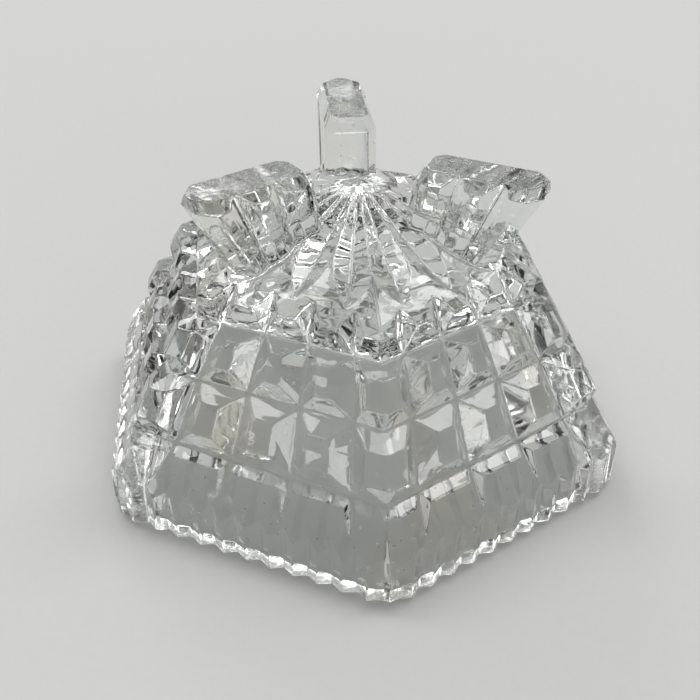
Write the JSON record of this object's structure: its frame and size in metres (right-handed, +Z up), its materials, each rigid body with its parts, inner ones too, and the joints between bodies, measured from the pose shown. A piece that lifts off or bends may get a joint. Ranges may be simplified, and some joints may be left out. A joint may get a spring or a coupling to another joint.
{
  "type": "salt cellar",
  "caption": "Open pressed-glass salt dish with a six-sided block-cut bowl, a ribbed rim and three block feet, resting upside down on its rim.",
  "frame": {"origin": "centre of the rim plane, which is the lowest plane of the dish as it lies upside down", "axes": "+Z up, from the rim to the soles of the feet; +Y towards the rear foot, so two rim corners lie on the Y axis"},
  "size_m": [0.0622, 0.0698, 0.039],
  "materials": {
    "clear_glass": "clear fire-polished pressed glass with a faint grey tint"
  },
  "bodies": {
    "root": {"rim_band_right": "clear_glass", "rim_band_rear_right": "clear_glass", "rim_band_rear_left": "clear_glass", "rim_band_left": "clear_glass", "rim_band_front_left": "clear_glass", "rim_band_front_right": "clear_glass", "wall_right": "clear_glass", "wall_rear_right": "clear_glass", "wall_rear_left": "clear_glass", "wall_left": "clear_glass", "wall_front_left": "clear_glass", "wall_front_right": "clear_glass", "base_star": "clear_glass", "foot_rear": "clear_glass", "foot_left": "clear_glass", "foot_right": "clear_glass"}
  },
  "joints": []
}
